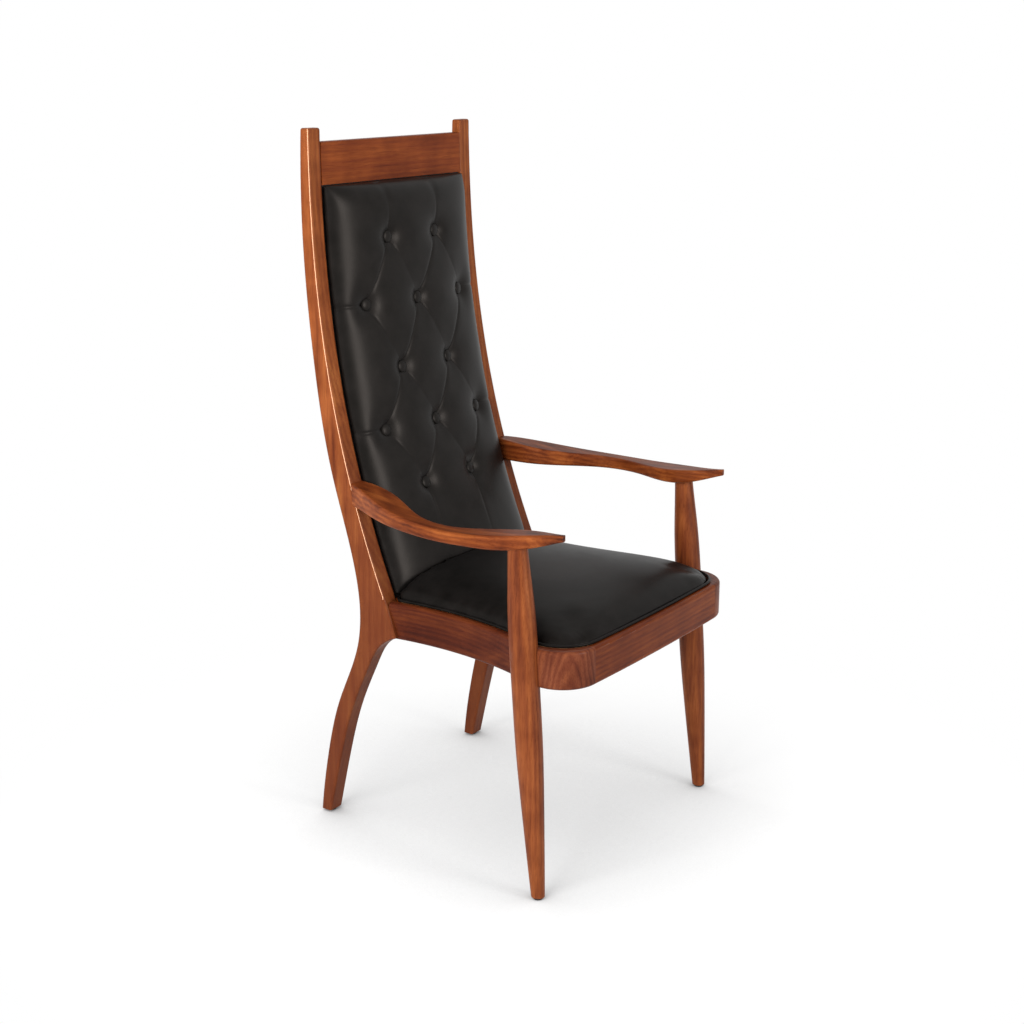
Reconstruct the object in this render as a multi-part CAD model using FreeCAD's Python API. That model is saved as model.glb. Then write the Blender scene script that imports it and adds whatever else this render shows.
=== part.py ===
import FreeCAD, Part
import math
import os

from FreeCAD import Vector

# High-back dining armchair: a wooden frame, a buttoned back pad and a drop-in seat.
# Millimetres, +Z up. The sitter faces -Y and +X is the sitter's left hand.
# The origin is on the floor, in the middle of the chair's outline.

# Heights
chair_height = 1224.0
crest_bottom = 1130.0
crest_top = 1201.0
seat_rail_bottom = 367.0
seat_rail_top = 432.0
seat_crown = 485.0
glide_height = 4.0

# Curve of the back's front: it comes forward by back_drop from the top to back_low
back_top_y = 271.0
back_drop = 146.0
back_low = 441.0
back_power = 2.3

# Back posts: flat sides, curved front and rear, seen from the side as (y, z).
# They lean together upwards about post_lean_height.
post_middle = 209.0
post_width = 32.0
post_lean_degrees = 0.5
post_lean_height = 680.0
post_rounding = 4.0
post_front_heights = [1224.0, 1100.0, 970.0, 840.0, 710.0, 580.0, 500.0, 441.0]
post_knee = [(111.0, 406.0), (99.5, 371.5)]
post_leg_front = [
    (121.0, 361.0), (135.5, 350.0), (161.0, 309.0), (200.0, 223.0), (226.5, 138.0), (259.0, 4.0),
]
post_rear = [
    (280.5, 4.0), (262.0, 120.0), (233.0, 226.0), (186.0, 345.0), (180.0, 403.0),
    (190.0, 480.0), (236.5, 640.0), (273.5, 842.0), (291.0, 1054.0), (288.5, 1224.0),
]

# Crest rail
crest_thickness = 18.0
crest_rounding = 3.0
crest_tenon_length = 20.0
crest_tenon_thickness = 8.0
crest_tenon_margin = 11.0

# Seat frame in plan, all in arcs: waisted sides, round corners and a faintly bowed front
frame_waist_half = 213.0
frame_waist_y = 19.0
frame_side_radius = 605.0
frame_front_y = -294.0
frame_front_radius = 5150.0
frame_corner_radius = 65.0
frame_back_radius = 14.0
frame_rear_y = 117.0
rail_thickness = 30.0
rail_lip = 12.0
rail_ledge = 14.0
rail_rounding = 6.0
front_seam_x = 195.0
side_seam_y = -190.0
tenon_thickness = 8.0
tenon_margin = 10.0
side_tenon_x = 210.0
side_tenon_start = 90.0
side_tenon_end = 136.0
back_rail_front = 118.0
back_rail_thickness = 28.0
back_tenon_reach = 203.0

# Turned front legs, raked forward, as (radius, height along the leg)
leg_foot = Vector(266.5, -230.0, 0.0)
leg_top = Vector(259.5, -183.0, 590.0)
leg_profile = [
    (10.6, -10.0), (12.0, 14.0), (14.6, 66.0), (19.2, 167.0), (22.5, 268.0),
    (23.0, 360.0), (21.5, 504.0), (16.6, 585.0), (15.8, 603.0),
]
spigot_radius = 10.0
spigot_length = 16.0

# Carved arms at stations from the post to the tip: y, inner x, outer x, underside, top
arm_stations = [
    (200.0, 194.0, 222.0, 593.0, 633.0),
    (129.0, 199.0, 255.0, 592.0, 626.0),
    (67.0, 227.0, 279.0, 590.5, 617.5),
    (6.0, 259.0, 293.0, 590.0, 613.0),
    (-56.0, 266.0, 299.5, 590.0, 611.0),
    (-117.0, 248.0, 295.0, 590.5, 612.5),
    (-175.0, 232.5, 281.5, 593.0, 617.5),
    (-225.0, 237.0, 266.0, 603.5, 623.0),
    (-266.0, 249.0, 256.5, 617.0, 628.0),
]
arm_rounding = 5.0
arm_rounding_share = 0.3

# Drop-in seat
cover_thickness = 2.5
seat_inset = 13.0
seat_corner_radius = 65.0
seat_back_y = 116.0
seat_overhang_y = 122.0
seat_side_rise = 2.0
seat_clearance = 1.0
seat_board_thickness = 12.0
seat_half_span = 200.0
seat_power = 2.8
seat_corner_reach = 190.0
seat_levels = [0.0, 2.0, 6.0, 12.0, 22.0, 38.0, 60.0, 90.0, 120.0]
welt_radius = 2.5
welt_lift = 0.5
bottom_cloth_thickness = 0.8
bottom_cloth_inset = 46.0
bottom_cloth_back = 92.0

# Back pad on its board
board_setback = 6.0
board_thickness = 9.0
board_groove = 6.0
outside_thickness = 3.0
outside_gap = 1.0
outside_bottom = 436.0
outside_top = 1128.0
panel_spans = 8
pad_gap = 1.5
pad_overrun = 1.0
pad_bottom = 440.0
pad_top = 1128.0
pad_side_rise = 2.5
pad_roll = 22.0
pad_end_roll = 6.0
pad_crown = 18.0
pad_end_crown = 2.0
pad_end_length = 45.0
pad_end_steps = [0.0, 4.0, 14.0, 28.0, 45.0]
pad_middle_spans = 6

# Tufts: rows of two and three buttons by turns
tuft_heights = [1037.0, 926.0, 813.0, 712.0, 611.0]
tuft_pitch = 131.0
tuft_depth = 7.0
tuft_flare = 13.0
pleat_depth = 3.0
pleat_half_width = 4.0
pleat_run = 42.0
pleat_margin = 12.0
pleat_fade = 0.4
button_radius = 11.0
button_foot_radius = 10.0
button_rim = 1.5
button_height = 6.0
button_clearance = 0.3
twine_radius = 1.0
washer_radius = 10.0
washer_thickness = 1.6
washer_sink = 0.6

# Fasteners and hidden blocks
dowel_radius = 4.0
rail_dowel_length = 36.0
arm_dowel_length = 48.0
arm_dowel_x = 209.0
dowel_heights = [376.0, 409.0]
arm_dowel_heights = [600.0, 616.0]
bolt_heights = [385.5, 399.5]
bolt_radius = 4.0
bolt_length = 50.0
bolt_head_radius = 6.5
bolt_head_height = 6.0
bolt_y = -198.0
screw_radius = 2.5
screw_head_radius = 4.5
screw_head_height = 3.0
brace_bottom = 372.0
brace_top = 410.0
brace_clearance = 0.2
front_brace_cut = 432.0
front_brace_screw = (190.5, -241.5)
rear_brace_cut = 264.0
rear_brace_screw = (174.0, 90.0)
brace_screw_heights = [381.0, 401.0]
brace_screw_length = 40.0
seat_screw_length = 54.0
front_seat_screw = (210.0, -238.0)
rear_seat_screw = (172.0, 104.0)
cleat_half_length = 135.0
cleat_screw_x = [-108.0, 0.0, 108.0]
cleat_front = 94.0
cleat_height = 20.0
cleat_screw_length = 44.0
glide_radius = 8.0
glide_pin_radius = 2.5
glide_pin_length = 14.0
back_glide = (214.8, 269.8)

X_AXIS = Vector(1, 0, 0)
Y_AXIS = Vector(0, 1, 0)
Z_AXIS = Vector(0, 0, 1)
FAR = 500.0

post_lean = math.radians(post_lean_degrees)
seat_base = seat_rail_top - rail_ledge
seat_side_top = seat_rail_top + seat_side_rise
board_rear = board_setback + board_thickness


def back_front(z):
    """Y of the back's front, level with the front of the posts, at height z."""
    share = (chair_height - z) / (chair_height - back_low)
    return back_top_y - back_drop * share ** back_power


def back_slope(z):
    """How fast the back's front moves to the rear with height."""
    return (back_front(z + 1.0) - back_front(z - 1.0)) / 2.0


def post_inner(z):
    """X of the left post's inner face at height z."""
    half = post_width / 2.0 / math.cos(post_lean)
    return post_middle - half - (z - post_lean_height) * math.tan(post_lean)


def unit(vector):
    vector.normalize()
    return vector


def box(x0, x1, y0, y1, z0, z1):
    return Part.makeBox(x1 - x0, y1 - y0, z1 - z0, Vector(x0, y0, z0))


def rod(start, direction, length, radius):
    return Part.makeCylinder(radius, length, start, direction)


def headed(start, direction, length, radius, head_radius, head_height):
    """A screw or bolt: its head ends at start and its shank runs on along direction."""
    ahead = unit(Vector(direction))
    head = rod(start - ahead * head_height, ahead, head_height, head_radius)
    return head.fuse(rod(start, ahead, length, radius)).removeSplitter()


def mirrored(shape):
    return shape.mirror(Vector(0, 0, 0), X_AXIS)


def both_sides(shapes):
    return shapes + [mirrored(shape) for shape in shapes]


def spline(points):
    curve = Part.BSplineCurve()
    curve.interpolate(points)
    return curve.toShape()


def side_points(pairs):
    return [Vector(0.0, y, z) for y, z in pairs]


def extruded(edges, direction):
    return Part.Face(Part.Wire(edges)).extrude(direction)


def prism(points, direction):
    return Part.Face(Part.makePolygon(points + points[:1])).extrude(direction)


def post_blank():
    """The left post as sawn: the side outline carried across its width."""
    upper = [(back_front(z), z) for z in post_front_heights] + post_knee
    lower = upper[-1:] + post_leg_front
    front = spline(side_points(upper))
    leg = spline(side_points(lower))
    rear = spline(side_points(post_rear))
    foot = Part.makeLine(*side_points([lower[-1], post_rear[0]]))
    head = Part.makeLine(*side_points([post_rear[-1], upper[0]]))
    blank = extruded([front, leg, foot, rear, head], X_AXIS * post_width)
    blank.translate(X_AXIS * (post_middle - post_width / 2.0))
    return blank


def rounded_post(blank):
    """The post with every arris rounded, apart from those of its foot."""
    arrises = [edge for edge in blank.Edges if edge.BoundBox.ZMax > glide_height + 1.0]
    along = [edge for edge in arrises if edge.BoundBox.XLength < 1.0]
    across = [edge for edge in arrises if edge.BoundBox.ZMin > chair_height - 1.0 and edge not in along]
    return blank.makeFillet(post_rounding, along + across)


def leaned(post):
    """The left post turned inwards at the top to its lean."""
    post.rotate(Vector(post_middle, 0.0, post_lean_height), Y_AXIS, -post_lean_degrees)
    return post


def between_posts(z0, z1, gap):
    """The space between the posts from z0 to z1, short of each inner face by gap."""
    low = post_inner(z0) - gap
    high = post_inner(z1) - gap
    corners = [(-low, z0), (low, z0), (high, z1), (-high, z1)]
    return prism([Vector(x, 0.0, z) for x, z in corners], Y_AXIS * FAR)


def curved_panel(front_offset, rear_offset, z0, z1, gap):
    """A panel that follows the curve of the back between two offsets from its front."""
    heights = [z0 + (z1 - z0) * step / panel_spans for step in range(panel_spans + 1)]
    front = [(back_front(z) + front_offset, z) for z in heights]
    rear = [(back_front(z) + rear_offset, z) for z in reversed(heights)]
    edges = [
        spline(side_points(front)),
        Part.makeLine(*side_points([front[-1], rear[0]])),
        spline(side_points(rear)),
        Part.makeLine(*side_points([rear[-1], front[0]])),
    ]
    panel = extruded(edges, X_AXIS * FAR)
    panel.translate(X_AXIS * (-FAR / 2.0))
    return panel.common(between_posts(z0, z1, gap))


def crest_rail():
    """The crest rail with a tenon at each end."""
    body = curved_panel(0.0, crest_thickness, crest_bottom, crest_top, 0.0)
    level = [edge for edge in body.Edges if edge.BoundBox.XLength > FAR / 2.0]
    upper = [edge for edge in level if edge.BoundBox.ZMin > crest_top - 1.0]
    body = body.makeFillet(crest_rounding, upper)
    middle = back_front((crest_bottom + crest_top) / 2.0) + crest_thickness / 2.0
    reach = post_inner(crest_top) + crest_tenon_length
    half = crest_tenon_thickness / 2.0
    low = crest_bottom + crest_tenon_margin
    tenon = box(-reach, reach, middle - half, middle + half, low, crest_top - crest_tenon_margin)
    return body.fuse(tenon).removeSplitter()


def side_x(y, inset):
    """X of the seat frame's left side at y, moved inwards by inset."""
    reach = frame_side_radius + inset
    return frame_waist_half + frame_side_radius - math.sqrt(reach ** 2 - (y - frame_waist_y) ** 2)


def corner_centre(first, first_reach, second, second_reach):
    """The foremost point in plan at the given distances from two centres."""
    span = second - first
    along = (first_reach ** 2 - second_reach ** 2 + span.Length ** 2) / (2.0 * span.Length)
    across = math.sqrt(first_reach ** 2 - along ** 2)
    ahead = unit(span)
    return first + ahead * along + Vector(-ahead.y, ahead.x, 0.0) * across


def seat_outline(inset, corner_radius, back_y, z):
    """The seat frame's outline in plan, moved inwards by inset, as one closed wire at height z."""
    side_centre = Vector(frame_waist_half + frame_side_radius, frame_waist_y, 0.0)
    bow_centre = Vector(0.0, frame_front_y + frame_front_radius, 0.0)
    bow_radius = frame_front_radius - inset
    side_reach = frame_side_radius + inset + corner_radius
    corner = corner_centre(side_centre, side_reach, bow_centre, bow_radius - corner_radius)
    to_side = unit(side_centre - corner)
    to_front = unit(corner - bow_centre)
    on_side = corner + to_side * corner_radius
    on_front = corner + to_front * corner_radius
    corner_middle = corner + unit(to_side + to_front) * corner_radius
    front_middle = bow_centre - Y_AXIS * bow_radius

    rear_y = back_y - frame_back_radius
    rear = Vector(side_x(rear_y, inset + frame_back_radius), rear_y, 0.0)
    to_rear_side = unit(side_centre - rear)
    rear_side = rear + to_rear_side * frame_back_radius
    rear_edge = rear + Y_AXIS * frame_back_radius
    rear_middle = rear + unit(to_rear_side + Y_AXIS) * frame_back_radius
    side_y = (rear_side.y + on_side.y) / 2.0
    side_middle = Vector(side_x(side_y, inset), side_y, 0.0)

    def left(point):
        return Vector(point.x, point.y, z)

    def right(point):
        return Vector(-point.x, point.y, z)

    edges = [
        Part.Arc(left(rear_edge), left(rear_middle), left(rear_side)).toShape(),
        Part.Arc(left(rear_side), left(side_middle), left(on_side)).toShape(),
        Part.Arc(left(on_side), left(corner_middle), left(on_front)).toShape(),
        Part.Arc(left(on_front), left(front_middle), right(on_front)).toShape(),
        Part.Arc(right(on_front), right(corner_middle), right(on_side)).toShape(),
        Part.Arc(right(on_side), right(side_middle), right(rear_side)).toShape(),
        Part.Arc(right(rear_side), right(rear_middle), right(rear_edge)).toShape(),
        Part.makeLine(right(rear_edge), left(rear_edge)),
    ]
    return Part.Wire(edges)


def seat_prism(inset, corner_radius, back_y, z0, z1):
    outline = seat_outline(inset, corner_radius, back_y, z0)
    return Part.Face(outline).extrude(Z_AXIS * (z1 - z0))


def seat_ring():
    """The sides and the front of the seat frame in one piece, with the rebate for the seat."""
    behind = frame_rear_y + frame_back_radius
    open_end = behind + 2.0 * frame_back_radius
    low = seat_rail_bottom - 1.0
    high = seat_rail_top + 1.0
    body = seat_prism(0.0, frame_corner_radius, behind, seat_rail_bottom, seat_rail_top)
    level = [edge for edge in body.Edges if edge.BoundBox.ZLength < 0.01]
    body = body.makeFillet(rail_rounding, level)
    inner_radius = frame_corner_radius - rail_thickness
    body = body.cut(seat_prism(rail_thickness, inner_radius, open_end, low, high))
    return body.cut(seat_prism(rail_lip, seat_corner_radius, open_end, seat_base, high))


def side_tenon():
    """Tenon of the left side rail into the post."""
    half = tenon_thickness / 2.0
    low = seat_rail_bottom + tenon_margin
    high = seat_base - tenon_margin / 2.0
    return box(side_tenon_x - half, side_tenon_x + half, side_tenon_start, side_tenon_end, low, high)


def back_seat_rail():
    """The rail between the posts behind the seat, with a stub tenon at each end."""
    rear = back_rail_front + back_rail_thickness
    body = box(-FAR / 2.0, FAR / 2.0, back_rail_front, rear, seat_rail_bottom, seat_rail_top)
    lengthwise = [edge for edge in body.Edges if edge.BoundBox.XLength > 1.0]
    body = body.makeFillet(rail_rounding / 2.0, lengthwise)
    body = body.common(between_posts(seat_rail_bottom, seat_rail_top, 0.0))
    middle = back_rail_front + back_rail_thickness / 2.0
    half = tenon_thickness / 2.0
    low = seat_rail_bottom + tenon_margin
    high = seat_rail_top - tenon_margin
    tenon = box(-back_tenon_reach, back_tenon_reach, middle - half, middle + half, low, high)
    return body.fuse(tenon).removeSplitter()


def leg_placed(shape):
    """Stands a shape made along +Z on the left foot point, leaning along the front leg."""
    turn = FreeCAD.Rotation(Z_AXIS, leg_top - leg_foot)
    shape.Placement = FreeCAD.Placement(leg_foot, turn)
    return shape


def front_leg():
    """The left front leg as turned, running on above the arm's underside."""
    points = [Vector(radius, 0.0, height) for radius, height in leg_profile]
    low = Vector(0.0, 0.0, points[0].z)
    high = Vector(0.0, 0.0, points[-1].z)
    edges = [
        Part.makeLine(low, points[0]),
        spline(points),
        Part.makeLine(points[-1], high),
        Part.makeLine(high, low),
    ]
    turned = Part.Face(Part.Wire(edges)).revolve(Vector(0, 0, 0), Z_AXIS, 360.0)
    leg = leg_placed(turned)
    return leg.cut(box(0.0, FAR, -FAR, 0.0, -FAR / 2.0, glide_height))


def leg_spigot():
    """The turned end of the left front leg that goes up into the arm."""
    length = (leg_top - leg_foot).Length
    return leg_placed(Part.makeCylinder(spigot_radius, length + spigot_length))


def rounded_section(y, x0, x1, z0, z1, radius):
    """An upright rectangle with round corners, across the Y axis."""
    reach = radius * (1.0 - math.sqrt(0.5))

    def at(x, z):
        return Vector(x, y, z)

    edges = [
        Part.makeLine(at(x0 + radius, z0), at(x1 - radius, z0)),
        Part.Arc(at(x1 - radius, z0), at(x1 - reach, z0 + reach), at(x1, z0 + radius)).toShape(),
        Part.makeLine(at(x1, z0 + radius), at(x1, z1 - radius)),
        Part.Arc(at(x1, z1 - radius), at(x1 - reach, z1 - reach), at(x1 - radius, z1)).toShape(),
        Part.makeLine(at(x1 - radius, z1), at(x0 + radius, z1)),
        Part.Arc(at(x0 + radius, z1), at(x0 + reach, z1 - reach), at(x0, z1 - radius)).toShape(),
        Part.makeLine(at(x0, z1 - radius), at(x0, z0 + radius)),
        Part.Arc(at(x0, z0 + radius), at(x0 + reach, z0 + reach), at(x0 + radius, z0)).toShape(),
    ]
    return Part.Wire(edges)


def carved_arm():
    """The left arm, lofted through its stations from inside the post to the tip."""
    sections = []
    for y, inner, outer, underside, top in arm_stations:
        radius = min(arm_rounding, arm_rounding_share * (outer - inner))
        sections.append(rounded_section(y, inner, outer, underside, top, radius))
    return Part.makeLoft(sections, True, False)


def cushion(inset, base):
    """The seat's crowned form above base, every face moved in by inset: rounder at its front corners
    upwards, and upright behind, where it stands over the rear rail a little."""
    rise = seat_crown - inset - seat_side_top
    levels = [(base, 0.0, seat_back_y)]
    for run in seat_levels:
        share = 1.0 - run / seat_half_span
        rear = seat_overhang_y if run > 0.0 else seat_back_y
        levels.append((seat_side_top + rise * math.sqrt(1.0 - share ** seat_power), run, rear))
    wires = []
    for height, run, rear in levels:
        depth = seat_inset + inset + run
        corner = min(seat_corner_radius + run, seat_corner_reach - run)
        wires.append(seat_outline(depth, corner, rear - inset, height))
    return Part.makeLoft(wires, True, True)


def seat_welt():
    """A round welt that lies on the frame's lip against the seat."""
    height = seat_rail_top + welt_radius + welt_lift
    path = seat_outline(rail_lip + welt_lift, seat_corner_radius, seat_back_y, height)
    first = path.Edges[-1]
    start = first.valueAt(first.FirstParameter)
    ring = Part.Wire([Part.makeCircle(welt_radius, start, X_AXIS)])
    return path.makePipeShell([ring], True, False)


def pad_ease(z):
    """From 0 at the pad's top or bottom edge to 1 where its full thickness begins."""
    run = max(0.0, min(z - pad_bottom, pad_top - z, pad_end_length))
    return math.sqrt(1.0 - (1.0 - run / pad_end_length) ** 2)


def pad_shape(z, inset):
    """Half width, corner radius, crown, slope of the crown's end and Y of the roll's start."""
    ease = pad_ease(z)
    half = post_inner(z) - pad_gap - inset
    roll = pad_end_roll + (pad_roll - pad_end_roll) * ease - inset
    crown = pad_end_crown + (pad_crown - pad_end_crown) * ease
    slope = 2.0 * math.atan(crown / (half - roll))
    return half, roll, crown, slope, back_front(z) - pad_side_rise


def pad_section(z, inset, overrun):
    """The back pad cut level at height z: flat behind, rolled sides and a crowned front."""
    half, roll, crown, slope, side_y = pad_shape(z, inset)
    board_y = back_front(z) + board_setback + overrun
    turn = math.pi / 2.0 - slope

    def on_roll(angle, side):
        x = half - roll + roll * math.cos(angle)
        return Vector(side * x, side_y - roll * math.sin(angle), z)

    front = Vector(0.0, on_roll(turn, 1.0).y - crown, z)
    edges = [
        Part.makeLine(Vector(-half, board_y, z), Vector(half, board_y, z)),
        Part.makeLine(Vector(half, board_y, z), on_roll(0.0, 1.0)),
        Part.Arc(on_roll(0.0, 1.0), on_roll(turn / 2.0, 1.0), on_roll(turn, 1.0)).toShape(),
        Part.Arc(on_roll(turn, 1.0), front, on_roll(turn, -1.0)).toShape(),
        Part.Arc(on_roll(turn, -1.0), on_roll(turn / 2.0, -1.0), on_roll(0.0, -1.0)).toShape(),
        Part.makeLine(on_roll(0.0, -1.0), Vector(-half, board_y, z)),
    ]
    return Part.Wire(edges)


def pad_heights():
    """Levels of the pad's sections, close together in its rolled ends."""
    low = [pad_bottom + step for step in pad_end_steps]
    high = [pad_top - step for step in reversed(pad_end_steps)]
    span = (high[0] - low[-1]) / pad_middle_spans
    return low + [low[-1] + span * count for count in range(1, pad_middle_spans)] + high


def pad_point(x, z):
    """The point of the pad's crowned front at x and z."""
    half, roll, crown, slope, side_y = pad_shape(z, 0.0)
    chord = half - roll * (1.0 - math.sin(slope))
    radius = (chord * chord + crown * crown) / (2.0 * crown)
    front_y = side_y - roll * math.cos(slope) - crown
    return Vector(x, front_y + radius - math.sqrt(radius * radius - x * x), z)


def pad_normal(x, z):
    """Direction straight out of the pad's front at x and z."""
    across = pad_point(x + 1.0, z) - pad_point(x - 1.0, z)
    upward = pad_point(x, z + 1.0) - pad_point(x, z - 1.0)
    return unit(across.cross(upward))


def tuft_rows():
    """Places (x, z) of the buttons, row by row from the top."""
    rows = []
    for row, height in enumerate(tuft_heights):
        count = 2 + row % 2
        first = -tuft_pitch * (count - 1) / 2.0
        rows.append([(first + tuft_pitch * column, height) for column in range(count)])
    return rows


def tufts():
    return [place for row in tuft_rows() for place in row]


def pleats():
    """Creases of the leather: between neighbouring buttons and out to the pad's edges."""
    rows = tuft_rows()
    lines = []
    for upper, lower in zip(rows, rows[1:]):
        for start in upper:
            for end in lower:
                if abs(start[0] - end[0]) < tuft_pitch:
                    lines.append((start, end, 1.0))
    for x, z in rows[0]:
        lines.append(((x, z), (x, z + pleat_run), pleat_fade))
    for x, z in rows[-1]:
        lines.append(((x, z), (x, z - pleat_run), pleat_fade))
    for row in rows[1::2]:
        for x, z in (row[0], row[-1]):
            lines.append(((x, z), (x + math.copysign(pleat_run, x), z), pleat_fade))
    return lines


def pleat_tool(start, end, fade, inset):
    """A long wedge that presses one pleat; fade is the share of depth left at its end."""
    triangles = []
    direction = pad_point(*end) - pad_point(*start)
    margin = pleat_margin / direction.Length
    for along, share in ((margin, 1.0), (1.0 - margin * fade, fade)):
        place = [first + (last - first) * along for first, last in zip(start, end)]
        point = pad_point(*place)
        normal = pad_normal(*place)
        side = unit(direction.cross(normal))
        depth = pleat_depth * share + inset
        side = side * (pleat_half_width * share + inset) * 2.0
        corners = [point - normal * depth, point + normal * depth + side, point + normal * depth - side]
        triangles.append(Part.makePolygon(corners + corners[:1]))
    return Part.makeLoft(triangles, True, True)


def tuft_tool(place, inset):
    """The funnel that a button presses into the pad."""
    normal = pad_normal(*place)
    depth = tuft_depth + inset
    seat = pad_point(*place) - normal * depth
    narrow = button_radius + button_clearance + inset
    return Part.makeCone(narrow, narrow + 2.0 * tuft_flare, 2.0 * depth, seat, normal)


def plain_pad(inset, overrun):
    """The back pad's form without tufts, moved inwards by inset and carried to the rear by overrun."""
    heights = pad_heights()
    heights[0] = heights[0] + min(inset, 0.0)
    return Part.makeLoft([pad_section(z, inset, overrun) for z in heights], True, False)


def tufted_pad(inset, overrun):
    """The back pad's form with its tufts and pleats."""
    tools = [tuft_tool(place, inset) for place in tufts()]
    tools = tools + [pleat_tool(start, end, fade, inset) for start, end, fade in pleats()]
    return plain_pad(inset, overrun).cut(tools)


def button_seat(place):
    return pad_point(*place) - pad_normal(*place) * tuft_depth


def covered_button(place):
    """One domed button that sits at the bottom of its tuft: a flared foot under a cap of a ball."""
    rise = button_height - button_rim
    ball_radius = (button_radius ** 2 + rise ** 2) / (2.0 * rise)
    ball = Part.makeSphere(ball_radius, Z_AXIS * (button_height - ball_radius))
    cap = ball.common(rod(Z_AXIS * button_rim, Z_AXIS, button_height, button_radius + 1.0))
    foot = Part.makeCone(button_foot_radius, button_radius, button_rim)
    dome = foot.fuse(cap).removeSplitter()
    dome.Placement = FreeCAD.Placement(button_seat(place), FreeCAD.Rotation(Z_AXIS, pad_normal(*place)))
    return dome


def twine_run(place):
    """Start, direction and length of a button's twine, straight through to behind the board."""
    start = button_seat(place)
    direction = unit(Vector(0.0, 1.0, -back_slope(start.z)))
    rear = back_front(start.z) + board_rear - start.y
    return start, direction, rear * direction.y - washer_sink


def twine(place, radius):
    start, direction, length = twine_run(place)
    return rod(start, direction, length, radius)


def washer(place, depth):
    """A disc in the rear of the board, where a twine is tied off; depth is its thickness."""
    start, direction, length = twine_run(place)
    return rod(start + direction * (length - washer_thickness), direction, depth, washer_radius)


def brace_space():
    """The room inside the seat frame at the height of the braces."""
    inset = rail_thickness + brace_clearance
    behind = back_rail_front + back_rail_thickness
    return seat_prism(inset, frame_corner_radius - inset, behind, brace_bottom, brace_top)


def brace_corner(corners):
    """A three-cornered block in plan at the height of the braces."""
    points = [Vector(x, y, brace_bottom) for x, y in corners]
    return prism(points, Z_AXIS * (brace_top - brace_bottom))


def front_brace():
    """Block in the left front corner of the seat frame."""
    corners = [(front_brace_cut - FAR, -FAR), (FAR, FAR - front_brace_cut), (FAR, -FAR)]
    return brace_space().common(brace_corner(corners))


def rear_brace():
    """Block between the left side rail, the post and the back seat rail."""
    wall = back_rail_front - brace_clearance
    corners = [(rear_brace_cut - wall, wall), (FAR, wall), (FAR, rear_brace_cut - FAR)]
    return brace_space().common(brace_corner(corners))


def screw(start, direction, length):
    return headed(start, direction, length, screw_radius, screw_head_radius, screw_head_height)


def brace_screws():
    """Screws through the middle of both left braces, into the round corner and the post."""
    screws = []
    for place, direction in ((front_brace_screw, Vector(1, -1, 0)), (rear_brace_screw, Vector(1, 1, 0))):
        for height in brace_screw_heights:
            screws.append(screw(Vector(*place, height), direction, brace_screw_length))
    return screws


def seat_screws():
    """Screws up through the left braces into the seat board."""
    places = [front_seat_screw, rear_seat_screw]
    return [screw(Vector(*place, brace_bottom), Z_AXIS, seat_screw_length) for place in places]


def cleat_screws():
    """Screws through the cleat into the back rail of the seat."""
    height = seat_base - cleat_height / 2.0
    return [screw(Vector(x, cleat_front, height), Y_AXIS, cleat_screw_length) for x in cleat_screw_x]


def leg_bolts():
    """Bolts from inside the left round corner into the front leg."""
    bolts = []
    for height in bolt_heights:
        start = Vector(side_x(bolt_y, rail_thickness), bolt_y, height)
        bolts.append(headed(start, X_AXIS, bolt_length, bolt_radius, bolt_head_radius, bolt_head_height))
    return bolts


def rail_dowels():
    """Dowels across both seams of the left round corner."""
    middle_x = side_x(side_seam_y, rail_thickness / 2.0)
    middle_y = frame_front_y + rail_thickness / 2.0
    half = rail_dowel_length / 2.0
    dowels = []
    for height in dowel_heights:
        side = Vector(middle_x, side_seam_y - half, height)
        front = Vector(front_seam_x - half, middle_y, height)
        dowels.append(rod(side, Y_AXIS, rail_dowel_length, dowel_radius))
        dowels.append(rod(front, X_AXIS, rail_dowel_length, dowel_radius))
    return dowels


def arm_dowels():
    """Dowels from the left arm into the post."""
    dowels = []
    for height in arm_dowel_heights:
        start = Vector(arm_dowel_x, back_front(height) - arm_dowel_length / 2.0, height)
        dowels.append(rod(start, Y_AXIS, arm_dowel_length, dowel_radius))
    return dowels


def glide(x, y):
    """A round glide with its pin, under one foot."""
    disc = rod(Vector(x, y, 0.0), Z_AXIS, glide_height, glide_radius)
    pin = rod(Vector(x, y, 0.0), Z_AXIS, glide_height + glide_pin_length, glide_pin_radius)
    return disc.fuse(pin).removeSplitter()


def wooden_sides(blank, shared):
    """The left-hand wooden pieces; shared holds the pieces that are let into them."""
    ring = seat_ring()
    arm = carved_arm().cut(blank)
    leg = front_leg().cut(arm).fuse(leg_spigot().common(arm)).removeSplitter()
    tenon = side_tenon()
    screws = shared["brace_screws"]
    holders = shared["seat_screws"]
    dowels = shared["rail_dowels"]
    pegs = shared["arm_dowels"]
    bolts = shared["leg_bolts"]
    glides = shared["foot_glides"]
    rails = [shared["crest"], shared["back_rail"], shared["board"]]

    post = leaned(rounded_post(post_blank())).cut([tenon] + rails + pegs + screws + glides)
    side = ring.common(box(0.0, FAR, side_seam_y, frame_rear_y, 0.0, FAR)).cut(blank)
    side = side.fuse(tenon.common(blank)).removeSplitter().cut([leg] + dowels + screws)
    corner = ring.common(box(front_seam_x, FAR, -FAR, side_seam_y, 0.0, FAR))
    front = ring.common(box(-front_seam_x, front_seam_x, -FAR, side_seam_y, 0.0, FAR))
    sided = {
        "back_post": post,
        "side_rail": side,
        "front_corner": corner.cut([leg] + dowels + bolts + screws),
        "front_leg": leg.cut(bolts + glides),
        "arm": arm.cut([leg] + pegs),
        "front_brace": front_brace().cut(screws + holders),
        "rear_brace": rear_brace().cut([blank] + screws + holders),
    }
    return sided, front.cut(both_sides(dowels))


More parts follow.
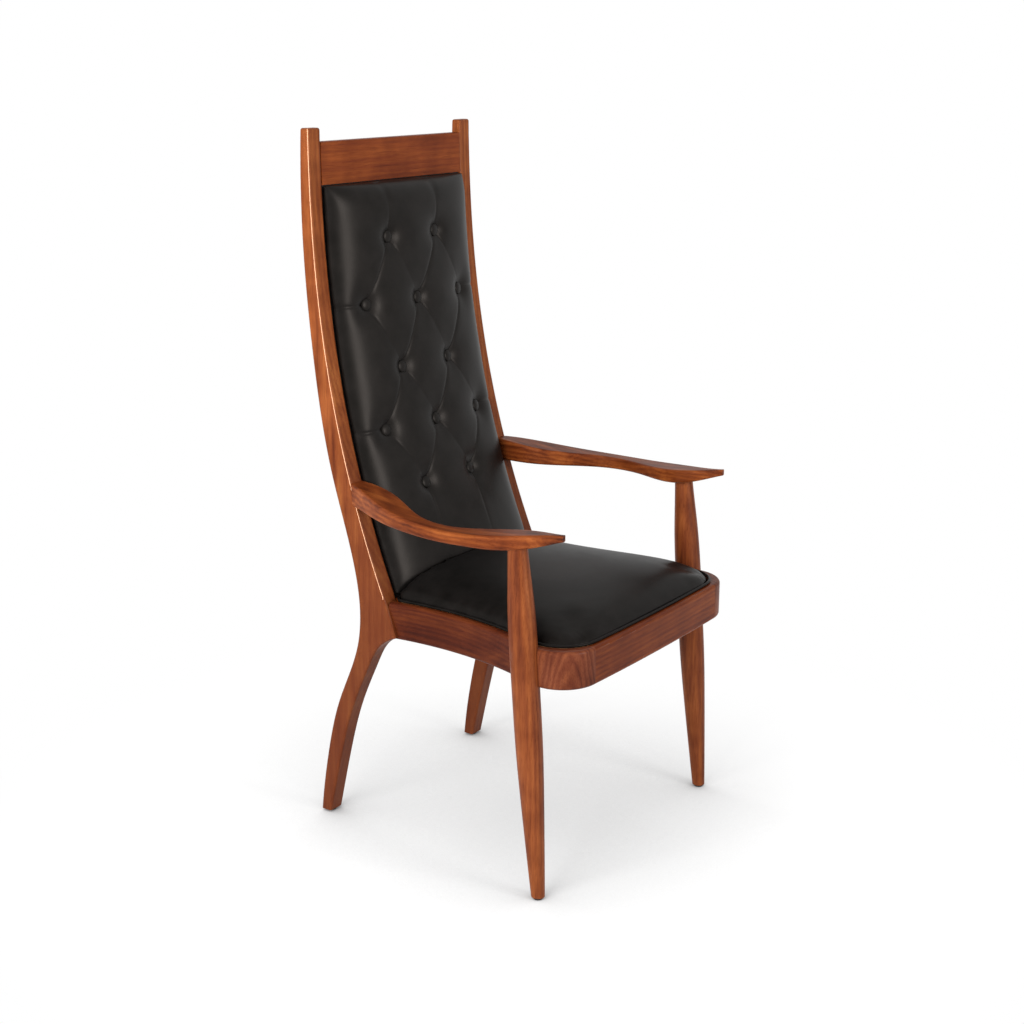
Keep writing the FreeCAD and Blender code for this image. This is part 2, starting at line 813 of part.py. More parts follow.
def seat_pieces(holders, legs):
    """The drop-in seat: its board, foam, cover, welt and bottom cloth, pressed in by the legs."""
    welt = seat_welt().cut(legs)
    board_inset = seat_inset + cover_thickness
    board_top = seat_base + seat_board_thickness
    board = seat_prism(board_inset, seat_corner_radius, seat_back_y - cover_thickness, seat_base, board_top)
    foam = cushion(cover_thickness, board_top).cut([plain_pad(-seat_clearance - cover_thickness, 0.0), welt])
    whole = cushion(0.0, seat_base).cut(plain_pad(-seat_clearance, 0.0))
    cloth_bottom = seat_base - bottom_cloth_thickness
    return {
        "seat_cover": [whole.cut([board, foam, welt] + legs)],
        "seat_foam": [foam],
        "seat_board": [board.cut(both_sides(holders))],
        "seat_welt": [welt],
        "seat_bottom_cloth": [
            seat_prism(bottom_cloth_inset, frame_back_radius, bottom_cloth_back, cloth_bottom, seat_base)
        ],
    }


def back_pieces(board):
    """The buttoned back pad, what holds its buttons, and the panel that closes the back."""
    places = tufts()
    filling = tufted_pad(cover_thickness, pad_overrun)
    twines = [twine(place, twine_radius) for place in places]
    washers = [washer(place, washer_thickness) for place in places]
    pockets = [washer(place, 2.0 * washer_thickness) for place in places]
    outside_rear = board_rear + outside_thickness
    outside = curved_panel(board_rear, outside_rear, outside_bottom, outside_top, outside_gap)
    return {
        "back_cover": [tufted_pad(0.0, 0.0).cut(filling)],
        "back_foam": [filling.cut([board] + twines)],
        "back_board": [board.cut(twines + pockets)],
        "outside_back_panel": [outside],
        "tuft_buttons": [covered_button(place) for place in places],
        "tuft_washers": [disc.cut(string) for disc, string in zip(washers, twines)],
        "tuft_twines": twines,
    }


def build():
    """Every piece of the chair as lists of solids by node name."""
    crest = crest_rail()
    back_rail = back_seat_rail()
    board_low = seat_rail_top - board_groove
    board = curved_panel(board_setback, board_rear, board_low, crest_bottom + board_groove, -board_groove)
    shared = {
        "rail_dowels": rail_dowels(),
        "arm_dowels": arm_dowels(),
        "leg_bolts": leg_bolts(),
        "brace_screws": brace_screws(),
        "seat_screws": seat_screws(),
        "foot_glides": [glide(leg_foot.x, leg_foot.y), glide(*back_glide)],
    }
    pieces = {name: both_sides(shapes) for name, shapes in shared.items()}
    shared.update({"crest": crest, "back_rail": back_rail, "board": board})
    sided, front = wooden_sides(leaned(post_blank()), shared)
    for name, shape in sided.items():
        pieces["left_" + name] = [shape]
        pieces["right_" + name] = [mirrored(shape)]

    screws = cleat_screws()
    cleat_low = seat_base - cleat_height
    cleat = box(-cleat_half_length, cleat_half_length, cleat_front, back_rail_front, cleat_low, seat_base)
    pieces["front_rail"] = [front]
    pieces["crest_rail"] = [crest.cut(board)]
    pieces["back_seat_rail"] = [back_rail.cut([board] + screws)]
    pieces["seat_cleat"] = [cleat.cut(screws)]
    pieces["cleat_screws"] = screws
    legs = pieces["left_front_leg"] + pieces["right_front_leg"]
    pieces.update(seat_pieces(shared["seat_screws"], legs))
    pieces.update(back_pieces(board))
    return pieces


os.makedirs("parts", exist_ok=True)
for node, shapes in build().items():
    shape = shapes[0] if len(shapes) == 1 else Part.makeCompound(shapes)
    shape.exportStep("parts/" + node + ".step")
    print(node, len(shape.Solids), round(shape.Volume / 1000.0, 1), shape.isValid())
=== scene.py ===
import math

import bmesh
import bpy
import numpy as np
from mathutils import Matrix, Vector


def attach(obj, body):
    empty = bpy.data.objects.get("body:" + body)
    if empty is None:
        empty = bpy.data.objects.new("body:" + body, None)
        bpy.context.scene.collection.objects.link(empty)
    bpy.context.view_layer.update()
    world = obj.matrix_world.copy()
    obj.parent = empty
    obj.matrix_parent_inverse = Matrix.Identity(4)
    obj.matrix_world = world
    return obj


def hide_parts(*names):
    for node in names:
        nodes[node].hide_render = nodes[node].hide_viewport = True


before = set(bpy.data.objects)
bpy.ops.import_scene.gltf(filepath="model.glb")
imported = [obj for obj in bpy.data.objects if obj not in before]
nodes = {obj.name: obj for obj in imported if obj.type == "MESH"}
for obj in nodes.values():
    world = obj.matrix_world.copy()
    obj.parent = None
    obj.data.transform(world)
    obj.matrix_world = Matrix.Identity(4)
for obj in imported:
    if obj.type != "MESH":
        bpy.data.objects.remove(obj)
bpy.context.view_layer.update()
scene = bpy.context.scene
scene.view_settings.view_transform = "Standard"

# The chair's sizes are in millimetres here, as its solids have them; meshes are in metres.
MM = 0.001

# Distance between the crests of a wave texture at scale 1, in metres
WAVE_LENGTH = 0.314

# Curve of the back and the space between the posts
chair_height = 1224.0
back_top_y = 271.0
back_drop = 146.0
back_fall = 783.0
back_power = 2.3
post_lean = math.radians(0.5)
post_half_width = 16.0
post_middle_x = 209.0
post_middle_z = 680.0

# Back pad
pad_bottom = 440.0
pad_top = 1129.0
pad_gap = 0.7
pad_board_setback = 6.0
pad_side_rise = 2.5
pad_depth = 40.0
pad_end_depth = 8.0
pad_end_length = 45.0
pad_flatness = 2.3
pad_roundness = 0.46
pad_columns = 112
pad_rows = 148
pad_end_steps = [0.0, 1.5, 4.0, 8.0, 13.0, 19.0, 26.0, 33.0, 40.0]
pad_held_at_sides = 1.0
pad_held_at_ends = 5.0
tuft_heights = [1037.0, 926.0, 813.0, 712.0, 611.0]
tuft_pitch = 131.0
tuft_depth = 12.5
dimple_width = 18.0
valley_depth = 1.2
valley_width = 12.0
fold_width = 2.2
pleat_end_gap = 8.0
pleat_side_x = 200.0
button_radius = 11.0
button_rise = 3.4
button_sink = tuft_depth - 2.0
button_held_round = 2.0

# Seat and its frame in plan
seat_edge_inset = 12.5
seat_waist_half = 213.0
seat_waist_y = 19.0
seat_side_radius = 605.0
seat_front_y = -294.0
seat_front_radius = 5150.0
seat_corner_radius = 65.0
seat_rear_radius = 14.0
seat_rear_y = 116.0
rail_top = 432.0
welt_radius = 2.5
welt_lift = 0.3
welt_spacing = 6.0
cover_thickness = 2.5
cover_edge_top = 456.0
cover_edge_fade = 16.0
leg_y = -195.0
leg_clear = 20.0
leg_fade = 14.0
seat_mesh_step = 5.0
seat_held_below = 434.0
seat_held_at_back = 52.0
gather_centre_x = 181.0
gather_centre_y = -212.0
gather_height = 0.22
gather_top = 466.0
gather_fade = 24.0

# Cloth under the seat board
cloth_inset = 46.0
cloth_rear_y = 92.0
cloth_height = 417.4
cloth_sag = 3.0
cloth_steps = [0.0, 4.0, 12.0, 25.0, 45.0, 70.0, 95.0]
cloth_sag_reach = 110.0

# Outside back; its front and rear are measured behind the curve of the back
outside_bottom = 437.0
outside_top = 1127.0
outside_gap = 1.2
outside_front = 15.2
outside_rear = 16.6
outside_swell = 2.6
outside_ease = 24.0
outside_end_steps = [0.0, 1.0, 3.0, 7.0]
outside_end_length = 13.0

# Painted highlight along the posts' outer front arris, and heights over which painted shade darkens the posts
# towards the bottom, in metres
arris_half_width = 0.0007
arris_reach = 0.006
painted_shade_from = 0.74
painted_shade_full = 0.42
painted_shade_share = 0.72

# Light that the floor and the world give; distances on the floor are in metres from the chair's middle
paper_fades_from = 0.35
paper_white_at = 1.0
sky_reach = 1.2
sky_contrast = 1.3
paper_glow = 0.89
world_light = 0.28

# Camera of the photograph, fitted to it, in metres and degrees
camera_place = (-2.2828, -1.6306, 1.3574)
camera_tilt = 15.805
camera_turn = -54.208
camera_lens = 58.14


def back_curve(z):
    """Y of the back's front at height z."""
    return back_top_y - back_drop * ((chair_height - z) / back_fall) ** back_power


def post_inner(z):
    """X of the left post's inner face at height z."""
    return post_middle_x - post_half_width / math.cos(post_lean) - (z - post_middle_z) * math.tan(post_lean)


def smooth_step(value):
    share = np.clip(value, 0.0, 1.0)
    return share * share * (3.0 - 2.0 * share)


# Materials


def linear(colour):
    """A linear colour from an sRGB hex value."""
    parts = [int(colour[at:at + 2], 16) / 255.0 for at in (1, 3, 5)]
    return tuple(p / 12.92 if p <= 0.04045 else ((p + 0.055) / 1.055) ** 2.4 for p in parts) + (1.0,)


def add(tree, kind, links=None, values=None, stops=None, **settings):
    """Adds one node with its settings, socket values, colour stops and links."""
    node = tree.nodes.new(kind)
    for name, value in settings.items():
        setattr(node, name, value)
    for socket, value in (values or {}).items():
        node.inputs[socket].default_value = value
    for socket, source in (links or {}).items():
        tree.links.new(source, node.inputs[socket])
    if stops:
        elements = node.color_ramp.elements
        while len(elements) < len(stops):
            elements.new(0.5)
        for element, (position, colour) in zip(elements, stops):
            element.position = position
            element.color = linear(colour)
    return node


def new_material(name, values):
    """A material with its shader's own values set, its tree and its shader."""
    material = bpy.data.materials.new(name)
    material.use_nodes = True
    shader = material.node_tree.nodes["Principled BSDF"]
    for socket, value in values.items():
        shader.inputs[socket].default_value = value
    return material, material.node_tree, shader


def wired(tree, shader, sources):
    """Links each named input of the shader to its source."""
    for socket, source in sources.items():
        tree.links.new(source, shader.inputs[socket])


def along_grain(tree, grain, pith):
    """Places in the piece, turned so that the grain runs along Z, with the pith at its given place."""
    turn = Vector(grain).rotation_difference(Vector((0.0, 0.0, 1.0))).to_euler()
    place = add(tree, "ShaderNodeTexCoord")
    return add(tree, "ShaderNodeMapping", {"Vector": place.outputs["Object"]},
               {"Rotation": turn, "Location": pith})


# Stains from the darkest streak to the lightest, as the photograph shows them on each kind of piece
RAIL_STAIN = ("#431808", "#60280E", "#6E3310", "#804014")
# The side rails' stain is darker than the cross rails' as painted shade under the arms
SHADED_SIDE_RAIL_STAIN = ("#34130A", "#4B1E0E", "#572711", "#673215")
CREST_STAIN = ("#662C14", "#773718", "#803E1A", "#8D481F")
CORNER_STAIN = ("#4B2317", "#63311E", "#6D3A24", "#7E4529")
LEG_STAIN = ("#451D11", "#6E371D", "#804422", "#98572E")
ARM_STAIN = ("#3E190B", "#6C3316", "#85451F", "#A15D2D")
POST_STAIN = ("#5D2A14", "#824422", "#915129", "#A76736")


def painted_arris_highlight(tree, place):
    """1 along the outer front arris of a back post above the seat, on its 4 mm rounding, where a highlight is
    painted, else 0.
    """
    at = add(tree, "ShaderNodeSeparateXYZ", {0: place.outputs["Object"]})
    fall = add(tree, "ShaderNodeMapRange", {"Value": at.outputs["Z"]},
               {"From Min": chair_height * MM, "From Max": (chair_height - back_fall) * MM})
    bend = add(tree, "ShaderNodeMath", {0: fall.outputs[0]}, {1: back_power}, operation="POWER")
    front = add(tree, "ShaderNodeMath", {0: bend.outputs[0]}, {1: -back_drop * MM, 2: back_top_y * MM},
                operation="MULTIPLY_ADD")
    outer_foot = (post_inner(0.0) + 2.0 * post_half_width) * MM
    outer = add(tree, "ShaderNodeMath", {0: at.outputs["Z"]}, {1: -math.tan(post_lean), 2: outer_foot},
                operation="MULTIPLY_ADD")
    side = add(tree, "ShaderNodeMath", {0: at.outputs["X"]}, operation="ABSOLUTE")
    inwards = add(tree, "ShaderNodeMath", {0: outer.outputs[0], 1: side.outputs[0]}, operation="SUBTRACT")
    behind = add(tree, "ShaderNodeMath", {0: at.outputs["Y"], 1: front.outputs[0]}, operation="SUBTRACT")
    on_line = add(tree, "ShaderNodeMath", {0: behind.outputs[0], 1: inwards.outputs[0]},
                  {2: arris_half_width}, operation="COMPARE")
    near = add(tree, "ShaderNodeMath", {0: inwards.outputs[0]}, {1: arris_reach}, operation="LESS_THAN")
    above = add(tree, "ShaderNodeMath", {0: at.outputs["Z"]}, {1: rail_top * MM + arris_reach},
                operation="GREATER_THAN")
    both = add(tree, "ShaderNodeMath", {0: on_line.outputs[0], 1: near.outputs[0]}, operation="MULTIPLY")
    return add(tree, "ShaderNodeMath", {0: both.outputs[0], 1: above.outputs[0]}, operation="MULTIPLY")


def lacquered_wood(name, grain, pith, stain_colours, figure_share=0.88, painted_shade_and_highlight=False):
    """Red-brown stained hardwood under satin lacquer: soft streaks along the grain, faint rings 9 mm apart
    round a pith outside the piece, fine dark pores and a thin clear gloss."""
    material, tree, shader = new_material(
        name, {"Specular IOR Level": 0.08, "Coat Weight": 0.04, "Coat Roughness": 0.15})
    turned = along_grain(tree, grain, pith)
    drawn = add(tree, "ShaderNodeMapping", {"Vector": turned.outputs[0]}, {"Scale": (1.0, 1.0, 0.06)})
    rings = add(tree, "ShaderNodeTexWave", {"Vector": drawn.outputs[0]},
                {"Scale": WAVE_LENGTH / 0.009, "Distortion": 7.0, "Detail": 4.0, "Detail Scale": 0.9,
                 "Detail Roughness": 0.65}, wave_type="RINGS", rings_direction="Z")
    # Broad light and dark streaks, about 20 mm wide
    figure = add(tree, "ShaderNodeTexNoise", {"Vector": drawn.outputs[0]},
                 {"Scale": 1.0 / 0.02, "Detail": 6.0, "Roughness": 0.62, "Distortion": 0.6})
    streaks = add(tree, "ShaderNodeMix", {2: rings.outputs["Fac"], 3: figure.outputs["Fac"]},
                  {0: figure_share})
    stain = add(tree, "ShaderNodeValToRGB", {"Fac": streaks.outputs[0]},
                stops=list(zip((0.26, 0.44, 0.58, 0.78), stain_colours)))
    # Cloudy patches about 60 mm across, where the stain took more or less
    clouds = add(tree, "ShaderNodeTexNoise", {"Vector": turned.outputs[0]},
                 {"Scale": 1.0 / 0.06, "Detail": 2.0})
    cloud_tone = add(tree, "ShaderNodeValToRGB", {"Fac": clouds.outputs["Fac"]},
                     stops=[(0.35, "#D8CCC6"), (0.62, "#FFFFFF")])
    clouded = add(tree, "ShaderNodeMix", {6: stain.outputs["Color"], 7: cloud_tone.outputs["Color"]},
                  {0: 0.8}, data_type="RGBA", blend_type="MULTIPLY")
    # Pores are about 0.2 mm wide in the wood and are drawn 1 mm wide to show
    long_pores = add(tree, "ShaderNodeMapping", {"Vector": turned.outputs[0]}, {"Scale": (1.0, 1.0, 0.035)})
    pores = add(tree, "ShaderNodeTexNoise", {"Vector": long_pores.outputs[0]},
                {"Scale": 1.0 / 0.001, "Detail": 2.0, "Roughness": 0.6})
    pore_tone = add(tree, "ShaderNodeValToRGB", {"Fac": pores.outputs["Fac"]},
                    stops=[(0.3, "#A8968C"), (0.5, "#FFFFFF")])
    colour = add(tree, "ShaderNodeMix", {6: clouded.outputs[2], 7: pore_tone.outputs["Color"]}, {0: 0.55},
                 data_type="RGBA", blend_type="MULTIPLY")
    if painted_shade_and_highlight:
        # Painted shade darkens the lower leg, and a painted highlight runs along the sharp arris as a line
        # about 1 mm wide
        place = add(tree, "ShaderNodeTexCoord")
        height = add(tree, "ShaderNodeSeparateXYZ", {0: place.outputs["Object"]})
        # Painted shade: the colour darkens towards the bottom of the post
        lower = add(tree, "ShaderNodeMapRange", {"Value": height.outputs["Z"]},
                    {"From Min": painted_shade_from, "From Max": painted_shade_full, "To Max": painted_shade_share})
        colour = add(tree, "ShaderNodeMix", {0: lower.outputs[0], 6: colour.outputs[2]},
                     {7: linear("#552612")}, data_type="RGBA")
        # Painted highlight: a pale line along the outer front arris
        line = painted_arris_highlight(tree, place)
        colour = add(tree, "ShaderNodeMix", {0: line.outputs[0], 6: colour.outputs[2]},
                     {7: linear("#E9B58F")}, data_type="RGBA")
    sheen = add(tree, "ShaderNodeMapRange", {"Value": streaks.outputs[0]}, {"To Min": 0.46, "To Max": 0.36})
    relief = add(tree, "ShaderNodeBump", {"Height": pores.outputs["Fac"]},
                 {"Strength": 0.06, "Distance": 0.0004})
    wired(tree, shader, {
        "Base Color": colour.outputs[2], "Roughness": sheen.outputs[0], "Normal": relief.outputs[0]})
    return material


def bare_wood(name, grain, light, dark):
    """Planed, unfinished wood: pale, dull, with faint streaks about 8 mm wide along its grain."""
    material, tree, shader = new_material(name, {"Roughness": 0.75})
    turned = along_grain(tree, grain, (0.0, 0.0, 0.0))
    drawn = add(tree, "ShaderNodeMapping", {"Vector": turned.outputs[0]}, {"Scale": (1.0, 1.0, 0.06)})
    streaks = add(tree, "ShaderNodeTexNoise", {"Vector": drawn.outputs[0]},
                  {"Scale": 1.0 / 0.008, "Detail": 4.0, "Roughness": 0.65})
    colour = add(tree, "ShaderNodeValToRGB", {"Fac": streaks.outputs["Fac"]},
                 stops=[(0.3, dark), (0.7, light)])
    relief = add(tree, "ShaderNodeBump", {"Height": streaks.outputs["Fac"]},
                 {"Strength": 0.2, "Distance": 0.0005})
    wired(tree, shader, {"Base Color": colour.outputs["Color"], "Normal": relief.outputs[0]})
    return material


def black_leather(name, roughness, gloss):
    """Smooth black upholstery leather: near black with a warm cast, satin, with a fine pebbled grain.
    The grain is about 0.7 mm in the hide and is drawn 1.8 mm wide to show."""
    material, tree, shader = new_material(
        name, {"Specular IOR Level": gloss, "Specular Tint": linear("#FFF2E8")})
    place = add(tree, "ShaderNodeTexCoord")
    pebbles = add(tree, "ShaderNodeTexVoronoi", {"Vector": place.outputs["Object"]}, {"Scale": 1.0 / 0.0018})
    hide = add(tree, "ShaderNodeTexNoise", {"Vector": place.outputs["Object"]},
               {"Scale": 1.0 / 0.03, "Detail": 6.0, "Roughness": 0.6})
    colour = add(tree, "ShaderNodeValToRGB", {"Fac": hide.outputs["Fac"]},
                 stops=[(0.3, "#0B0A09"), (0.7, "#151312")])
    sheen = add(tree, "ShaderNodeMapRange", {"Value": hide.outputs["Fac"]},
                {"To Min": roughness - 0.05, "To Max": roughness + 0.05})
    relief = add(tree, "ShaderNodeBump", {"Height": pebbles.outputs["Distance"]},
                 {"Strength": 0.1, "Distance": 0.0004})
    wired(tree, shader, {
        "Base Color": colour.outputs["Color"], "Roughness": sheen.outputs[0], "Normal": relief.outputs[0]})
    return material


def bottom_cloth():
    """Thin black cambric: matt, a plain weave of threads 0.5 mm apart, drawn 2 mm apart to show."""
    material, tree, shader = new_material("black_cambric_plain_weave", {"Roughness": 0.9})
    place = add(tree, "ShaderNodeTexCoord")
    threads = [
        add(tree, "ShaderNodeTexWave", {"Vector": place.outputs["Object"]}, {"Scale": WAVE_LENGTH / 0.002},
            wave_type="BANDS", bands_direction=way)
        for way in ("X", "Y")
    ]
    weave = add(tree, "ShaderNodeMath", {0: threads[0].outputs["Fac"], 1: threads[1].outputs["Fac"]},
                operation="MULTIPLY")
    colour = add(tree, "ShaderNodeValToRGB", {"Fac": weave.outputs[0]},
                 stops=[(0.0, "#0C0C0C"), (0.8, "#262525")])
    relief = add(tree, "ShaderNodeBump", {"Height": weave.outputs[0]}, {"Strength": 0.3, "Distance": 0.0004})
    wired(tree, shader, {"Base Color": colour.outputs["Color"], "Normal": relief.outputs[0]})
    return material


def speckled(name, light, dark, grain_mm, values):
    """A plain material with fine mottling of the given size, for small pieces mostly out of sight."""
    material, tree, shader = new_material(name, values)
    place = add(tree, "ShaderNodeTexCoord")
    mottle = add(tree, "ShaderNodeTexNoise", {"Vector": place.outputs["Object"]},
                 {"Scale": 1000.0 / grain_mm, "Detail": 3.0})
    colour = add(tree, "ShaderNodeValToRGB", {"Fac": mottle.outputs["Fac"]},
                 stops=[(0.35, dark), (0.65, light)])
    relief = add(tree, "ShaderNodeBump", {"Height": mottle.outputs["Fac"]},
                 {"Strength": 0.15, "Distance": 0.0003})
    wired(tree, shader, {"Base Color": colour.outputs["Color"], "Normal": relief.outputs[0]})
    return material


UPRIGHT = (0.0, 0.0, 1.0)
FORWARD = (0.0, 1.0, 0.0)
ACROSS = (1.0, 0.0, 0.0)
LEFT_SLANT = (0.2, -0.2, 1.0)
RIGHT_SLANT = (-0.2, -0.2, 1.0)

finishes = {
    # The posts carry painted shade low down and a painted highlight on the arris
    lacquered_wood("lacquered_hardwood_posts", UPRIGHT, (0.05, -0.32, 0.0), POST_STAIN, painted_shade_and_highlight=True): [
        "left_back_post", "right_back_post"],
    lacquered_wood("lacquered_hardwood_legs", UPRIGHT, (0.02, 0.28, 0.3), LEG_STAIN): [
        "left_front_leg", "right_front_leg"],
    lacquered_wood("lacquered_hardwood_arms", FORWARD, (0.1, -0.55, 0.0), ARM_STAIN): [
        "left_arm", "right_arm"],
    lacquered_wood("lacquered_hardwood_side_rails", FORWARD, (0.05, -0.3, 0.2), SHADED_SIDE_RAIL_STAIN): [
        "left_side_rail", "right_side_rail"],
    lacquered_wood("lacquered_hardwood_crest", ACROSS, (-0.33, 0.2, 0.1), CREST_STAIN): ["crest_rail"],
    lacquered_wood("lacquered_hardwood_cross_rails", ACROSS, (-0.33, 0.2, 0.1), RAIL_STAIN): [
        "front_rail", "back_seat_rail"],
    lacquered_wood("lacquered_hardwood_left_corner", LEFT_SLANT, (-0.17, 0.2, 0.0), CORNER_STAIN, 0.8): [
        "left_front_corner"],
    lacquered_wood("lacquered_hardwood_right_corner", RIGHT_SLANT, (0.17, 0.2, 0.0), CORNER_STAIN, 0.8): [
        "right_front_corner"],
    bare_wood("planed_hardwood_blocks", ACROSS, "#B98F63", "#8A6238"): [
        "left_front_brace", "right_front_brace", "left_rear_brace", "right_rear_brace", "seat_cleat",
        "rail_dowels", "arm_dowels"],
    bare_wood("sanded_plywood", FORWARD, "#C8A273", "#A37B4C"): ["seat_board"],
    # The back board is near black so that the gaps between pad and posts show painted shade
    bare_wood("plywood_blacked_as_painted_shade", UPRIGHT, "#1C1917", "#110F0E"): ["back_board"],
    speckled("zinc_plated_steel", "#C9CACC", "#A5A6A8", 2.0, {"Metallic": 1.0, "Roughness": 0.35}): [
        "leg_bolts", "brace_screws", "seat_screws", "cleat_screws", "tuft_washers"],
    speckled("waxed_linen_twine", "#C6B48F", "#8F7C58", 0.8, {"Roughness": 0.7}): ["tuft_twines"],
    speckled("moulded_black_nylon", "#1B1A1A", "#121111", 1.5, {"Roughness": 0.55}): ["foot_glides"],
}
for finish, names in finishes.items():
    for name in names:
        nodes[name].data.materials.clear()
        nodes[name].data.materials.append(finish)

back_leather = black_leather("black_leather_back", 0.36, 0.13)
seat_leather = black_leather("black_leather_seat", 0.38, 0.08)
cloth_finish = bottom_cloth()


# Meshes


def face_outwards(mesh):
    """Joins points that coincide and turns the faces outwards, shaded smooth."""
    shell = bmesh.new()
    shell.from_mesh(mesh)
    bmesh.ops.remove_doubles(shell, verts=shell.verts, dist=1e-6)
    bmesh.ops.recalc_face_normals(shell, faces=shell.faces)
    shell.to_mesh(mesh)
    shell.free()
    mesh.shade_smooth()


def new_piece(name, points, faces):
    """A mesh object from points in millimetres, smooth and facing outwards."""
    mesh = bpy.data.meshes.new(name)
    mesh.from_pydata([tuple(MM * c for c in p) for p in points], [], faces)
    face_outwards(mesh)
    piece = bpy.data.objects.new(name, mesh)
    scene.collection.objects.link(piece)
    return piece


def skin(row_count, count):
    """Faces between closed rows of count points each."""
    return [(row * count + at, row * count + (at + 1) % count,
             (row + 1) * count + (at + 1) % count, (row + 1) * count + at)
            for row in range(row_count - 1) for at in range(count)]


def cap(row, count):
    """The face that closes a row of count points."""
    return tuple(range(row * count, (row + 1) * count))


def corners(mesh):
    """The mesh's points and normals, in millimetres, as arrays."""
    points = np.zeros(len(mesh.vertices) * 3)
    normals = np.zeros(len(mesh.vertices) * 3)
    mesh.vertices.foreach_get("co", points)
    mesh.vertices.foreach_get("normal", normals)
    return points.reshape(-1, 3) / MM, normals.reshape(-1, 3)


def move_corners(mesh, points):
    mesh.vertices.foreach_set("co", (points * MM).ravel())
    mesh.update()


def made_plain(piece):
    """Applies the piece's modifiers, so that it is a plain mesh."""
    graph = bpy.context.evaluated_depsgraph_get()
    result = bpy.data.meshes.new_from_object(piece.evaluated_get(graph))
    piece.modifiers.clear()
    old = piece.data
    piece.data = result
    bpy.data.meshes.remove(old)


swell_frames = 20


def swollen(piece, held, pressure, reach, calm):
    """Lets leather round a filling swell as a cloth, held at some points; none moves further
    than reach, and calm rounds of easing take out its creases."""
    start, _ = corners(piece.data)
    group = piece.vertex_groups.new(name="held")
    group.add([int(i) for i in np.nonzero(held)[0]], 1.0, "REPLACE")
    cloth = piece.modifiers.new("swell", "CLOTH")
    cloth.settings.vertex_group_mass = "held"
    cloth.settings.quality = 4
    cloth.settings.mass = 0.4
    cloth.settings.tension_stiffness = 25.0
    cloth.settings.compression_stiffness = 25.0
    cloth.settings.shear_stiffness = 15.0
    cloth.settings.bending_stiffness = 8.0
    cloth.settings.use_pressure = True
    cloth.settings.uniform_pressure_force = pressure
    cloth.settings.effector_weights.gravity = 0.0
    cloth.point_cache.frame_start = 1
    cloth.point_cache.frame_end = swell_frames
    for step in range(1, swell_frames + 1):
        scene.frame_set(step)
    graph = bpy.context.evaluated_depsgraph_get()
    result = bpy.data.meshes.new_from_object(piece.evaluated_get(graph))
    end, _ = corners(result)
    bpy.data.meshes.remove(result)
    piece.modifiers.clear()
    scene.frame_set(1)
    moved = end - start
    length = np.linalg.norm(moved, axis=1, keepdims=True)
    move_corners(piece.data, start + moved * np.minimum(1.0, reach / np.maximum(length, 1e-6)))
    eased = piece.modifiers.new("eased", "SMOOTH")
    eased.factor = 0.5
    eased.iterations = calm
    eased.vertex_group = "held"
    eased.invert_vertex_group = True
    made_plain(piece)
    piece.vertex_groups.clear()


def subdivided(piece):
    """Makes the piece's mesh finer by one level."""
    finer = piece.modifiers.new("finer", "SUBSURF")
    finer.levels = 1
    finer.render_levels = 1
    made_plain(piece)
    piece.data.shade_smooth()


def finished(piece, material):
    """Gives the piece its material and slot, and fixes it to the chair."""
    piece.data.materials.clear()
    piece.data.materials.append(material)
    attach(piece, "root")


# Back pad


def pad_front(share, z):
    """How far the pad's front stands forward of its sides, at a share of its half width and height z."""
    run = max(0.0, min(z - pad_bottom, pad_top - z, pad_end_length))
    ease = math.sqrt(1.0 - (1.0 - run / pad_end_length) ** 2)
    depth = pad_end_depth + (pad_depth - pad_end_depth) * ease
    return depth * (1.0 - np.abs(share) ** pad_flatness) ** pad_roundness


def pad_row(z):
    """A level line over the pad at height z, in even steps: up one side, over its crown and down."""
    half = post_inner(z) - pad_gap
    side_y = back_curve(z) - pad_side_rise
    shares = np.cos(np.linspace(0.0, math.pi, 1501))
    x = half * shares
    y = side_y - pad_front(shares, z)
    way = np.concatenate([[0.0], np.cumsum(np.hypot(np.diff(x), np.diff(y)))])
    even = np.linspace(0.0, way[-1], pad_columns)
    front = list(zip(np.interp(even, way, x), np.interp(even, way, y)))
    rear = [(half, back_curve(z) + pad_board_setback)]
    return [(x, y, z) for x, y in rear + front + [(-half, rear[0][1])]]


def pad_place(x, z):
    """The point on the pad's crown at x and z."""
    side_y = back_curve(z) - pad_side_rise
    return np.array([x, side_y - pad_front(x / (post_inner(z) - pad_gap), z), z])


def pad_out(x, z):
    """Direction straight out of the pad's crown at x and z."""
    across = pad_place(x + 2.0, z) - pad_place(x - 2.0, z)
    upward = pad_place(x, z + 2.0) - pad_place(x, z - 2.0)
    out = np.cross(across, upward)
    return out / np.linalg.norm(out)


def tuft_places():
    """Places (x, z) of the buttons, row by row from the top, two and three by turns."""
    rows = []
    for row, height in enumerate(tuft_heights):
        count = 2 + row % 2
        rows.append([(tuft_pitch * (column - (count - 1) / 2.0), height) for column in range(count)])
    return rows


def all_tufts():
    return [place for row in tuft_places() for place in row]


def pleat_lines():
    """Creases of the back's leather: between neighbouring buttons and out to the pad's edges."""
    rows = tuft_places()
    lines = []
    for upper, lower in zip(rows, rows[1:]):
        lines += [(a, b) for a in upper for b in lower if abs(a[0] - b[0]) < tuft_pitch]
    lines += [((x, z), (x, pad_top - pleat_end_gap)) for x, z in rows[0]]
    lines += [((x, z), (x, pad_bottom + pleat_end_gap)) for x, z in rows[-1]]
    for row in (rows[1], rows[3]):
        lines += [((x, z), (math.copysign(pleat_side_x, x), z)) for x, z in (row[0], row[-1])]
    return lines


def from_line(points, line):
    """Distance of each point from a crease, and its share of the way along, seen from the front."""
    (x0, z0), (x1, z1) = line
    dx, dz = x1 - x0, z1 - z0
    length = dx * dx + dz * dz
    share = np.clip(((points[:, 0] - x0) * dx + (points[:, 2] - z0) * dz) / length, 0.0, 1.0)
    gap = np.hypot(points[:, 0] - x0 - share * dx, points[:, 2] - z0 - share * dz)
    return gap, share


